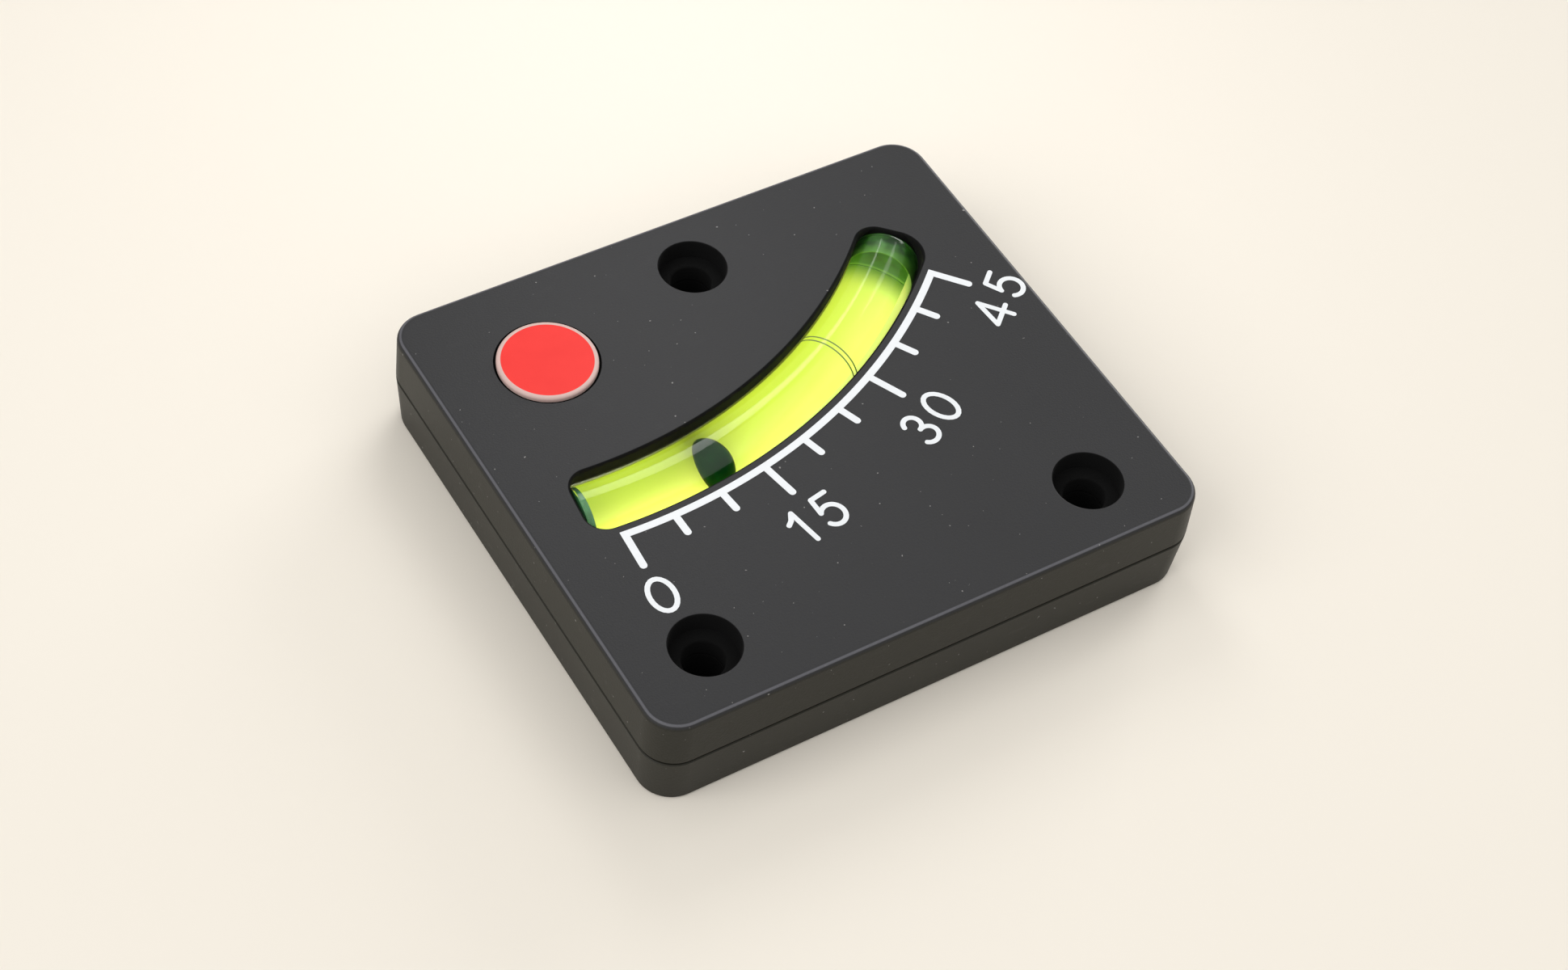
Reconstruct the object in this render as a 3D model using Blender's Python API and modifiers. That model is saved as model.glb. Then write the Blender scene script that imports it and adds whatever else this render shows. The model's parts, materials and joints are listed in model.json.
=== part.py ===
# Ball inclinometer, read from 0 to 45 degrees.
# A curved tube, filled with damping liquid and closed by two plugs, holds a rolling ball.
# Two moulded half-shells cradle the tube, which shows through a curved slot in the face.
# The origin is the middle of the back. +X runs to the right, +Y up the face and +Z out of the face.

import math

import bmesh
import bpy
from mathutils import Matrix, Vector

MM = 0.001

# Case: outside sizes, measured on the face
CASE_WIDTH = 70.0 * MM
CASE_HEIGHT = 63.5 * MM
CASE_DEPTH = 13.7 * MM
PARTING_BELOW_FACE = 6.5 * MM
CORNER_RADIUS = 4.0 * MM
FACE_EDGE = 0.7 * MM
BACK_EDGE = 0.4 * MM
FRONT_DRAFT = 0.12 * MM
REAR_DRAFT = 0.43 * MM

# Case: moulded walls
WALL = 2.0 * MM
FACE_PLATE = 1.8 * MM
BACK_PLATE = 2.0 * MM
SEAM = 0.3 * MM
LIP_THICKNESS = 0.8 * MM
LIP_HEIGHT = 1.4 * MM
RIB_THICKNESS = 1.4 * MM
REAR_RIB_HEIGHT = 1.6 * MM

# Running and seating clearance between neighbouring pieces
CLEARANCE = 0.3 * MM

# Mounting holes, for pan-head screws of about 4 mm, placed from the middle and the edges of the case
TOP_HOLE_ACROSS = 0.65 * MM
TOP_HOLE_FROM_EDGE = 7.65 * MM
RIGHT_HOLE_FROM_EDGE = 10.9 * MM
LEFT_HOLE_FROM_EDGE = 9.9 * MM
LOWER_HOLES_FROM_EDGE = 8.35 * MM
HOLE_DIAMETER = 4.85 * MM
HOLE_CHAMFER = 0.25 * MM
HEAD_DIAMETER = 7.95 * MM
HEAD_DEPTH = 2.6 * MM
BOSS_WALL = 1.35 * MM

# Arc of the tube: its radius, and the place on the face of the scale's middle
ARC_RADIUS = 64.0 * MM
ARC_MIDDLE_ACROSS = -0.401 * MM
ARC_MIDDLE_UP = 2.917 * MM
SCALE_LEAN = math.radians(-3.28)
SCALE_END = math.radians(45.0)
UNDER_TRAVEL = math.radians(0.3)
OVER_TRAVEL = math.radians(0.5)
READING = math.radians(13.2)

# Slot in the face, measured from the arc of the tube, with rounded corners and a rounded rim
SLOT_INSIDE = 3.5 * MM
SLOT_OUTSIDE = 4.8 * MM
SLOT_START = math.radians(-2.5)
SLOT_END = math.radians(49.2)
SLOT_CORNER = 2.4 * MM
SLOT_FAR_CORNER = 3.5 * MM
SLOT_RIM = 0.4 * MM

# Tube, ball and plugs
TUBE_DIAMETER = 8.0 * MM
TUBE_BORE = 5.4 * MM
TUBE_BELOW_FACE = 0.1 * MM
BALL_DIAMETER = 4.0 * MM
PLUG_OVERHANG = 1.2 * MM
PLUG_CHAMFER = 0.4 * MM
PLUG_LAND = 0.2 * MM

# Cradle that holds the tube, half in each shell
CHEEK_WALL = 1.7 * MM
STRIP_WIDTH = 6.4 * MM
STRIP_THICKNESS = 0.6 * MM

# Badge, seated in a shallow pocket
BADGE_FROM_LEFT = 13.7 * MM
BADGE_FROM_TOP = 13.15 * MM
BADGE_DIAMETER = 11.6 * MM
BADGE_PROUD = 0.4 * MM
BADGE_POCKET = 0.5 * MM
BADGE_CHAMFER = 0.3 * MM

# How far a cutter runs past what it cuts, and how close points are taken as one
OVERRUN = 1.0 * MM
SAME_PLACE = 0.01 * MM

# Facets on round shapes
CORNER_STEPS = 6
EDGE_STEPS = 3
ROUND_SIDES = 32
TUBE_SIDES = 24
ARC_STEPS = 18

# Heights and radii that follow from the sizes above
PARTING_HEIGHT = CASE_DEPTH - PARTING_BELOW_FACE
FRONT_LOW = PARTING_HEIGHT + SEAM / 2
REAR_HIGH = PARTING_HEIGHT - SEAM / 2
LIP_TOP = PARTING_HEIGHT + LIP_HEIGHT
AXIS_HEIGHT = CASE_DEPTH - TUBE_BELOW_FACE - TUBE_DIAMETER / 2
TUBE_RADIUS = TUBE_DIAMETER / 2
BORE_RADIUS = TUBE_BORE / 2
BALL_RADIUS = BALL_DIAMETER / 2
BALL_HEIGHT = AXIS_HEIGHT - BORE_RADIUS + CLEARANCE + BALL_RADIUS
TROUGH_RADIUS = TUBE_RADIUS + CLEARANCE
CRADLE_HALF = TROUGH_RADIUS + CHEEK_WALL
PLUG_RADIUS = BORE_RADIUS - CLEARANCE
NEST_RADIUS = BALL_RADIUS + (AXIS_HEIGHT - BALL_HEIGHT) + CLEARANCE
BOSS_RADIUS = HEAD_DIAMETER / 2 + BOSS_WALL
STRIP_TOP = AXIS_HEIGHT - TUBE_RADIUS - CLEARANCE
SLOT_INNER = ARC_RADIUS - SLOT_INSIDE
SLOT_OUTER = ARC_RADIUS + SLOT_OUTSIDE
BADGE_LOW = CASE_DEPTH - BADGE_POCKET + CLEARANCE

# Places on the face that follow from the sizes above
BADGE_PLACE = (BADGE_FROM_LEFT - CASE_WIDTH / 2, CASE_HEIGHT / 2 - BADGE_FROM_TOP)
HOLES = (
    (TOP_HOLE_ACROSS, CASE_HEIGHT / 2 - TOP_HOLE_FROM_EDGE),
    (CASE_WIDTH / 2 - RIGHT_HOLE_FROM_EDGE, LOWER_HOLES_FROM_EDGE - CASE_HEIGHT / 2),
    (LEFT_HOLE_FROM_EDGE - CASE_WIDTH / 2, LOWER_HOLES_FROM_EDGE - CASE_HEIGHT / 2),
)
ARC_MIDDLE_TURN = SCALE_END / 2 + SCALE_LEAN
ARC_CENTRE = Vector((
    ARC_MIDDLE_ACROSS - ARC_RADIUS * math.sin(ARC_MIDDLE_TURN),
    ARC_MIDDLE_UP + ARC_RADIUS * math.cos(ARC_MIDDLE_TURN),
    0,
))

# Angles on the arc that follow from lengths along it
TUBE_START = SLOT_START + CLEARANCE / ARC_RADIUS
TUBE_END = SLOT_END - CLEARANCE / ARC_RADIUS
POCKET_START = TUBE_START - (PLUG_OVERHANG + CLEARANCE) / ARC_RADIUS
POCKET_END = TUBE_END + (PLUG_OVERHANG + CLEARANCE) / ARC_RADIUS
CRADLE_START = POCKET_START - CHEEK_WALL / ARC_RADIUS
CRADLE_END = POCKET_END + CHEEK_WALL / ARC_RADIUS


def new_collection(name):
    made = bpy.data.collections.new(name)
    bpy.context.scene.collection.children.link(made)
    return made


def finish_material(name, color, roughness, metallic=0.0, transmission=0.0):
    made = bpy.data.materials.new(name)
    made.use_nodes = True
    shader = made.node_tree.nodes["Principled BSDF"]
    shader.inputs["Base Color"].default_value = (*color, 1.0)
    shader.inputs["Roughness"].default_value = roughness
    shader.inputs["Metallic"].default_value = metallic
    shader.inputs["Transmission Weight"].default_value = transmission
    made.diffuse_color = (*color, 1.0)
    return made


def add_object(name, bm, group, material=None):
    """Turns a bmesh into an object of that group, with round faces shaded smooth."""
    bmesh.ops.recalc_face_normals(bm, faces=bm.faces)
    mesh = bpy.data.meshes.new(name)
    bm.to_mesh(mesh)
    bm.free()
    mesh.shade_smooth()
    mesh.set_sharp_from_angle(angle=math.radians(30))
    made = bpy.data.objects.new(name, mesh)
    group.objects.link(made)
    if material:
        mesh.materials.append(material)
    else:
        made.hide_render = True
        made.display_type = "WIRE"
    return made


def combine(target, other, operation):
    """Joins or cuts the target with another solid, which stays as a hidden guide."""
    step = target.modifiers.new(other.name, "BOOLEAN")
    step.object = other
    step.operation = operation
    step.solver = "EXACT"


def moulded_block(name, group, high_half, low_half, low, high, corner, high_edge=0, low_edge=0, material=None):
    """A box with draft on its sides, round upright corners and softened upper and lower edges."""
    bm = bmesh.new()
    bmesh.ops.create_cube(bm, size=1)
    for vert in bm.verts:
        above = vert.co.z > 0
        half = high_half if above else low_half
        across = math.copysign(half[0], vert.co.x)
        along = math.copysign(half[1], vert.co.y)
        vert.co = (across, along, high if above else low)
    uprights = [e for e in bm.edges if e.verts[0].co.z != e.verts[1].co.z]
    bmesh.ops.bevel(bm, geom=uprights, offset=corner, segments=CORNER_STEPS, profile=0.5, affect="EDGES")
    for level, edge in ((high, high_edge), (low, low_edge)):
        if edge:
            loop = [e for e in bm.edges if all(abs(v.co.z - level) < SAME_PLACE for v in e.verts)]
            bmesh.ops.bevel(bm, geom=loop, offset=edge, segments=EDGE_STEPS, profile=0.5, affect="EDGES")
    return add_object(name, bm, group, material)


def case_half(inset, height):
    """Half the width and half the height of the case at a height above the back, less an inset."""
    if height >= PARTING_HEIGHT:
        spread = FRONT_DRAFT * (CASE_DEPTH - height) / (CASE_DEPTH - PARTING_HEIGHT)
    else:
        spread = FRONT_DRAFT - REAR_DRAFT * (PARTING_HEIGHT - height) / PARTING_HEIGHT
    return (CASE_WIDTH / 2 + spread - inset, CASE_HEIGHT / 2 + spread - inset)


def case_block(name, group, inset, low, high, high_edge=0, low_edge=0, material=None):
    """A block that follows the outside of the case at an inset."""
    corner = max(CORNER_RADIUS - inset, CORNER_RADIUS / 4)
    ends = case_half(inset, high), case_half(inset, low)
    return moulded_block(name, group, *ends, low, high, corner, high_edge, low_edge, material)


def drum(name, group, place, radius, low, high):
    """An upright cylinder."""
    bm = bmesh.new()
    bmesh.ops.create_cone(
        bm,
        cap_ends=True,
        segments=ROUND_SIDES,
        radius1=radius,
        radius2=radius,
        depth=high - low,
        matrix=Matrix.Translation((*place, (low + high) / 2)),
    )
    return add_object(name, bm, group)


def turned(name, group, profile, frame, sides=ROUND_SIDES, material=None):
    """A profile of (radius, height) points, top to bottom, turned about its own Z axis."""
    bm = bmesh.new()
    points = [bm.verts.new((radius, 0, height)) for radius, height in profile]
    for upper, lower in zip(points, points[1:]):
        bm.edges.new((upper, lower))
    mesh = bpy.data.meshes.new(name)
    bm.to_mesh(mesh)
    bm.free()
    made = bpy.data.objects.new(name, mesh)
    group.objects.link(made)
    made.matrix_world = frame
    screw = made.modifiers.new("turn", "SCREW")
    screw.steps = screw.render_steps = sides
    screw.use_merge_vertices = True
    screw.merge_threshold = SAME_PLACE
    if material:
        mesh.materials.append(material)
    else:
        made.hide_render = True
        made.display_type = "WIRE"
    return made


def arc_direction(angle):
    """The unit vector from the arc's centre to an angle of the scale."""
    turn = angle + SCALE_LEAN
    return Vector((math.sin(turn), -math.cos(turn), 0))


def arc_tangent(angle):
    """The unit vector along the arc, towards larger readings."""
    turn = angle + SCALE_LEAN
    return Vector((math.cos(turn), math.sin(turn), 0))


def arc_frame(angle, height):
    """Axes on the tube's axis at an angle of the scale, with Z along the arc and Y up."""
    place = ARC_CENTRE + arc_direction(angle) * ARC_RADIUS
    along = arc_tangent(angle)
    up = Vector((0, 0, 1))
    across = up.cross(along)
    turn = Matrix((across, up, along)).transposed().to_4x4()
    return Matrix.Translation((place.x, place.y, height)) @ turn


def swept(name, group, profile, start, end, material=None):
    """A closed profile of (offset from the tube's axis radius, height) points, swept along the arc."""
    bm = bmesh.new()
    out = arc_direction(start)
    verts = []
    for offset, height in profile:
        place = ARC_CENTRE + out * (ARC_RADIUS + offset)
        verts.append(bm.verts.new((place.x, place.y, height)))
    face = bm.faces.new(verts)
    bmesh.ops.spin(
        bm,
        geom=[face, *face.edges, *face.verts],
        cent=ARC_CENTRE,
        axis=(0, 0, 1),
        angle=end - start,
        steps=max(round(ARC_STEPS * (end - start) / SCALE_END), 1),
    )
    return add_object(name, bm, group, material)


def ring_profile(radius, sides):
    """A circle about the tube's axis, as a profile."""
    turns = [2 * math.pi * n / sides for n in range(sides)]
    return [(radius * math.cos(t), AXIS_HEIGHT + radius * math.sin(t)) for t in turns]


def trough_profile(radius, low):
    """Round above the tube's axis and straight below it, so that the tube goes in from behind."""
    half_sides = TUBE_SIDES // 2
    turns = [math.pi * n / half_sides for n in range(half_sides + 1)]
    crown = [(radius * math.cos(t), AXIS_HEIGHT + radius * math.sin(t)) for t in turns]
    return [*crown, (-radius, low), (radius, low)]


def strip_profile(half_width, low, high):
    return [(half_width, low), (half_width, high), (-half_width, high), (-half_width, low)]


def slot_corner(radius, side, end, corner, spread):
    """A round corner of the slot, from its long side to its end, and the angle at which it leaves the side."""
    onward = 1 if end == SLOT_END else -1
    reach = radius - side * corner
    angle = end - onward * math.asin(corner / reach)
    middle = ARC_CENTRE + arc_direction(angle) * reach
    off_side = arc_direction(angle) * side
    off_end = arc_tangent(end) * onward
    turns = [off_side.slerp(off_end, n / CORNER_STEPS) for n in range(CORNER_STEPS + 1)]
    return angle, [middle + turn * (corner + spread) for turn in turns]


def slot_side(radius, side, first, last, spread):
    """One long side of the slot, outer (1) or inner (-1), with the round corner at both its ends."""
    first_angle, first_corner = slot_corner(radius, side, *first, spread)
    last_angle, last_corner = slot_corner(radius, side, *last, spread)
    step = (last_angle - first_angle) / ARC_STEPS
    between = [arc_direction(first_angle + step * n) for n in range(1, ARC_STEPS)]
    long_side = [ARC_CENTRE + direction * (radius + side * spread) for direction in between]
    return [*reversed(first_corner), *long_side, *last_corner]


def slot_outline(spread):
    """The slot's outline, counterclockwise, grown outwards by spread."""
    outer = slot_side(SLOT_OUTER, 1, (SLOT_START, SLOT_CORNER), (SLOT_END, SLOT_FAR_CORNER), spread)
    inner = slot_side(SLOT_INNER, -1, (SLOT_END, SLOT_CORNER), (SLOT_START, SLOT_CORNER), spread)
    return [*outer, *inner]


def slot_cutter(group):
    """The slot as a loft of grown outlines: straight through the face plate, flared at the rounded rim."""
    levels = [(0, AXIS_HEIGHT), (0, CASE_DEPTH - SLOT_RIM)]
    turns = [math.pi / 2 * n / EDGE_STEPS for n in range(1, EDGE_STEPS)]
    for turn in turns:
        levels.append((SLOT_RIM * (1 - math.cos(turn)), CASE_DEPTH - SLOT_RIM * (1 - math.sin(turn))))
    spread, height = levels[-1]
    levels.append((2 * SLOT_RIM - spread, 2 * CASE_DEPTH - height))
    levels.append((2 * SLOT_RIM - spread, CASE_DEPTH + OVERRUN))
    bm = bmesh.new()
    rings = []
    for spread, height in levels:
        rings.append([bm.verts.new((p.x, p.y, height)) for p in slot_outline(spread)])
    for lower, upper in zip(rings, rings[1:]):
        for n, vert in enumerate(lower):
            bm.faces.new((lower[n - 1], vert, upper[n], upper[n - 1]))
    bm.faces.new(rings[0])
    bm.faces.new(rings[-1])
    return add_object("slot_cut", bm, group)


def screw_hole_cutter(name, group, place):
    """Counterbore for the screw's head with a through hole below, both with a softened edge."""
    head = HEAD_DIAMETER / 2
    hole = HOLE_DIAMETER / 2
    floor = CASE_DEPTH - HEAD_DEPTH
    profile = (
        (0, CASE_DEPTH + OVERRUN),
        (head + HOLE_CHAMFER + OVERRUN, CASE_DEPTH + OVERRUN),
        (head, CASE_DEPTH - HOLE_CHAMFER),
        (head, floor),
        (hole + HOLE_CHAMFER, floor),
        (hole, floor - HOLE_CHAMFER),
        (hole, -OVERRUN),
        (0, -OVERRUN),
    )
    return turned(name, group, profile, Matrix.Translation((*place, 0)))


def web(name, group, place, wall, low, high):
    """A rib from a boss to the middle of one outer wall. The wall is named by its side, -1 or 1, on X or Y."""
    side_x, side_y = wall
    middle = case_half(WALL / 2, high)
    half = RIB_THICKNESS / 2
    ends = [[place[0] - half, place[0] + half], [place[1] - half, place[1] + half]]
    if side_x:
        ends[0] = sorted((place[0], side_x * middle[0]))
    if side_y:
        ends[1] = sorted((place[1], side_y * middle[1]))
    bm = bmesh.new()
    bmesh.ops.create_cube(bm, size=1)
    for vert in bm.verts:
        across = ends[0][vert.co.x > 0]
        along = ends[1][vert.co.y > 0]
        vert.co = (across, along, high if vert.co.z > 0 else low)
    return add_object(name, bm, group)


def webs(prefix, group, low, high):
    """One rib from each boss to each wall beside it."""
    made = []
    for number, place in enumerate(HOLES):
        for axis, half_size in enumerate((CASE_WIDTH / 2, CASE_HEIGHT / 2)):
            near = half_size - abs(place[axis]) < 2 * BOSS_RADIUS
            if near:
                wall = [0, 0]
                wall[axis] = int(math.copysign(1, place[axis]))
                made.append(web(f"{prefix}_{number}_{axis}", group, place, wall, low, high))
    return made


def build_front_cover(parts, cutters, plastic):
    """The front shell: face plate, walls, rebate for the lip, bosses, ribs and the upper half of the cradle."""
    cover = case_block("front_cover", parts, 0, FRONT_LOW, CASE_DEPTH, high_edge=FACE_EDGE, material=plastic)
    plate_low = CASE_DEPTH - FACE_PLATE
    plate_middle = CASE_DEPTH - FACE_PLATE / 2
    cavity = case_block("front_cavity", cutters, WALL, FRONT_LOW - OVERRUN, plate_low)
    combine(cover, cavity, "DIFFERENCE")
    rebate_inset = WALL - LIP_THICKNESS - CLEARANCE
    rebate = case_block("lip_rebate", cutters, rebate_inset, FRONT_LOW - OVERRUN, LIP_TOP + CLEARANCE)
    combine(cover, rebate, "DIFFERENCE")
    for number, place in enumerate(HOLES):
        combine(cover, drum(f"front_boss_{number}", cutters, place, BOSS_RADIUS, FRONT_LOW, plate_middle), "UNION")
    for rib in webs("front_rib", cutters, LIP_TOP + 2 * CLEARANCE, plate_middle):
        combine(cover, rib, "UNION")
    cheeks = strip_profile(CRADLE_HALF, FRONT_LOW, plate_middle)
    combine(cover, swept("front_cheeks", cutters, cheeks, CRADLE_START, CRADLE_END), "UNION")
    trough = trough_profile(TROUGH_RADIUS, FRONT_LOW - OVERRUN)
    combine(cover, swept("tube_trough", cutters, trough, SLOT_START, SLOT_END), "DIFFERENCE")
    pocket = trough_profile(PLUG_RADIUS + CLEARANCE, FRONT_LOW - OVERRUN)
    combine(cover, swept("plug_trough", cutters, pocket, POCKET_START, POCKET_END), "DIFFERENCE")
    combine(cover, slot_cutter(cutters), "DIFFERENCE")
    badge_reach = BADGE_DIAMETER / 2 + CLEARANCE
    badge_floor = CASE_DEPTH - BADGE_POCKET
    badge_pocket = drum("badge_pocket", cutters, BADGE_PLACE, badge_reach, badge_floor, CASE_DEPTH + OVERRUN)
    combine(cover, badge_pocket, "DIFFERENCE")
    return cover


def build_rear_cover(parts, cutters, plastic):
    """The rear shell: flat back, walls with a locating lip, bosses, ribs and the lower half of the cradle."""
    cover = case_block("rear_cover", parts, 0, 0, REAR_HIGH, low_edge=BACK_EDGE, material=plastic)
    lip = case_block("lip", cutters, WALL - LIP_THICKNESS, BACK_PLATE, LIP_TOP)
    combine(cover, lip, "UNION")
    cavity = case_block("rear_cavity", cutters, WALL, BACK_PLATE, LIP_TOP + OVERRUN)
    combine(cover, cavity, "DIFFERENCE")
    for number, place in enumerate(HOLES):
        relief = drum(f"lip_relief_{number}", cutters, place, BOSS_RADIUS + CLEARANCE, REAR_HIGH, LIP_TOP + OVERRUN)
        combine(cover, relief, "DIFFERENCE")
    cheek_space = strip_profile(CRADLE_HALF + CLEARANCE, REAR_HIGH, LIP_TOP + OVERRUN)
    beyond = CLEARANCE / ARC_RADIUS
    relief = swept("cheek_relief", cutters, cheek_space, CRADLE_START - beyond, CRADLE_END + beyond)
    combine(cover, relief, "DIFFERENCE")
    floor_middle = BACK_PLATE / 2
    for number, place in enumerate(HOLES):
        combine(cover, drum(f"rear_boss_{number}", cutters, place, BOSS_RADIUS, floor_middle, REAR_HIGH), "UNION")
    for rib in webs("rear_rib", cutters, floor_middle, BACK_PLATE + REAR_RIB_HEIGHT):
        combine(cover, rib, "UNION")
    bed = strip_profile(CRADLE_HALF, floor_middle, REAR_HIGH)
    combine(cover, swept("rear_bed", cutters, bed, CRADLE_START, CRADLE_END), "UNION")
    round_seat = ring_profile(TROUGH_RADIUS, TUBE_SIDES)
    combine(cover, swept("tube_seat", cutters, round_seat, SLOT_START, SLOT_END), "DIFFERENCE")
    plug_seat = ring_profile(PLUG_RADIUS + CLEARANCE, TUBE_SIDES)
    combine(cover, swept("plug_seat", cutters, plug_seat, POCKET_START, POCKET_END), "DIFFERENCE")
    strip_bed = STRIP_TOP - STRIP_THICKNESS - CLEARANCE
    channel = strip_profile(STRIP_WIDTH / 2 + CLEARANCE, strip_bed, AXIS_HEIGHT)
    combine(cover, swept("strip_channel", cutters, channel, SLOT_START, SLOT_END), "DIFFERENCE")
    return cover


def build_tube(parts, cutters, clear):
    """The clear tube: a bent rod with its bore cut right through."""
    outside = ring_profile(TUBE_RADIUS, TUBE_SIDES)
    tube = swept("vial_tube", parts, outside, TUBE_START, TUBE_END, clear)
    run_out = OVERRUN / ARC_RADIUS
    inside = ring_profile(BORE_RADIUS, TUBE_SIDES)
    bore = swept("tube_bore", cutters, inside, TUBE_START - run_out, TUBE_END + run_out)
    combine(tube, bore, "DIFFERENCE")
    return tube


def plug_profile(nest_depth):
    """A plug from its outer end at the bottom to the rim round its hollow, where the ball nests."""
    hollow_edge = PLUG_RADIUS - PLUG_LAND
    steep = math.asin(hollow_edge / NEST_RADIUS)
    rim = nest_depth - NEST_RADIUS * math.cos(steep)
    points = []
    for n in range(EDGE_STEPS + 1):
        turn = steep * n / EDGE_STEPS
        points.append((NEST_RADIUS * math.sin(turn), nest_depth - NEST_RADIUS * math.cos(turn)))
    points += [
        (PLUG_RADIUS, rim),
        (PLUG_RADIUS, PLUG_CHAMFER - PLUG_OVERHANG),
        (PLUG_RADIUS - PLUG_CHAMFER, -PLUG_OVERHANG),
        (0, -PLUG_OVERHANG),
    ]
    return points


def build_plugs(parts, green):
    """The two plugs, turned on the tube's axis at its ends. Each hollow lets the ball pass the scale's end mark."""
    zero_depth = (-UNDER_TRAVEL - TUBE_START) * ARC_RADIUS
    zero_frame = arc_frame(TUBE_START, AXIS_HEIGHT)
    turned("zero_end_plug", parts, plug_profile(zero_depth), zero_frame, TUBE_SIDES, green)
    far_depth = (TUBE_END - SCALE_END - OVER_TRAVEL) * ARC_RADIUS
    far_frame = arc_frame(TUBE_END, AXIS_HEIGHT) @ Matrix.Rotation(math.pi, 4, "X")
    turned("far_end_plug", parts, plug_profile(far_depth), far_frame, TUBE_SIDES, green)


def build_ball(parts, dark_green):
    """The ball rests on the bottom of the bore. Its parent lies on the arc's centre, which it rolls about."""
    pivot = bpy.data.objects.new("ball_pivot", None)
    pivot.location = ARC_CENTRE
    parts.objects.link(pivot)
    bm = bmesh.new()
    bmesh.ops.create_uvsphere(bm, u_segments=TUBE_SIDES, v_segments=TUBE_SIDES // 2, radius=BALL_RADIUS)
    ball = add_object("indicator_ball", bm, parts, dark_green)
    ball.parent = pivot
    ball.location = arc_direction(READING) * ARC_RADIUS + Vector((0, 0, BALL_HEIGHT))
    return ball


def build_strip(parts, pale):
    """The pale strip that lies in the rear shell behind the tube."""
    profile = strip_profile(STRIP_WIDTH / 2, STRIP_TOP - STRIP_THICKNESS, STRIP_TOP)
    return swept("reflector_strip", parts, profile, TUBE_START, TUBE_END, pale)


def build_badge(parts, red):
    """The plain round badge, with a chamfered rim that stands proud of the face."""
    radius = BADGE_DIAMETER / 2
    high = CASE_DEPTH + BADGE_PROUD
    profile = (
        (0, high),
        (radius - BADGE_CHAMFER, high),
        (radius, high - BADGE_CHAMFER),
        (radius, BADGE_LOW),
        (0, BADGE_LOW),
    )
    return turned("badge", parts, profile, Matrix.Translation((*BADGE_PLACE, 0)), ROUND_SIDES, red)


for old in list(bpy.data.objects):
    bpy.data.objects.remove(old, do_unlink=True)

parts = new_collection("ball_inclinometer")
cutters = new_collection("cutters")
cutters.hide_render = True

plastic = finish_material("black_plastic", (0.045, 0.045, 0.047), 0.45)
clear = finish_material("clear_tube", (0.95, 0.98, 0.95), 0.05, transmission=1.0)
green = finish_material("green_plug", (0.06, 0.25, 0.09), 0.3)
dark_green = finish_material("dark_ball", (0.01, 0.08, 0.02), 0.2)
pale = finish_material("pale_strip", (0.85, 0.86, 0.82), 0.6)
red = finish_material("red_badge", (0.90, 0.06, 0.05), 0.35)

front_cover = build_front_cover(parts, cutters, plastic)
rear_cover = build_rear_cover(parts, cutters, plastic)
for number, place in enumerate(HOLES):
    screw_hole = screw_hole_cutter(f"screw_hole_{number}", cutters, place)
    combine(front_cover, screw_hole, "DIFFERENCE")
    combine(rear_cover, screw_hole, "DIFFERENCE")
build_tube(parts, cutters, clear)
build_plugs(parts, green)
build_ball(parts, dark_green)
build_strip(parts, pale)
build_badge(parts, red)
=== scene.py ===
import json
import math

import bmesh
import bpy
from mathutils import Matrix, Vector


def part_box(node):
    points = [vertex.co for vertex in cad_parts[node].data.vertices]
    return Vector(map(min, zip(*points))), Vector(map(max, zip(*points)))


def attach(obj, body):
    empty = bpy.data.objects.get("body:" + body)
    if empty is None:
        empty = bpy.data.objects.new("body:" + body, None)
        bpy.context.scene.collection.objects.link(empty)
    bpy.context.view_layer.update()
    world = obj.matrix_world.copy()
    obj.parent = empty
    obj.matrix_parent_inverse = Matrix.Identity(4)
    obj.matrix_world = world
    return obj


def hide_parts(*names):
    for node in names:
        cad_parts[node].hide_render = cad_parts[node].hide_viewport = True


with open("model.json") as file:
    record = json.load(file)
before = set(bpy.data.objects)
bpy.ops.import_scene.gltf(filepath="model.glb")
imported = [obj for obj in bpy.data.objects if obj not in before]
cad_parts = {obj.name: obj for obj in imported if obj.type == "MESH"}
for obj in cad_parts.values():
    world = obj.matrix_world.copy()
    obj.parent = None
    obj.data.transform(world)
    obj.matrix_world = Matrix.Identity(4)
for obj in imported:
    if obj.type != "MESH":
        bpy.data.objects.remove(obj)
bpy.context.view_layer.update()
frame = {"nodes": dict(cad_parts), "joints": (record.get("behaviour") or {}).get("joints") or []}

# Rear shell: the moulded lower half of the case, in black satin plastic.
# A lip round its top locates the front half, and the two are glued along the parting line.
# The tube lies in a round seat in it, over a channel for the pale strip.
mm = 0.001
up = Vector((0, 0, 1))
front_low, face = (corner.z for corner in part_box("front_cover"))
back, lip_top = (corner.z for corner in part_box("rear_cover"))
case_half = (35.0 * mm, 31.75 * mm)
case_corner = 4.0 * mm
case_facets = 12
front_draft = 0.12 * mm
rear_draft = 0.43 * mm
clearance = 0.3 * mm
seam = clearance
rear_high = front_low - seam
parting = (front_low + rear_high) / 2
lip_inset = 1.2 * mm
seam_edge = 0.12 * mm
back_edge = 0.4 * mm
edge_facets = 6
overrun = 1.0 * mm

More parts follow.
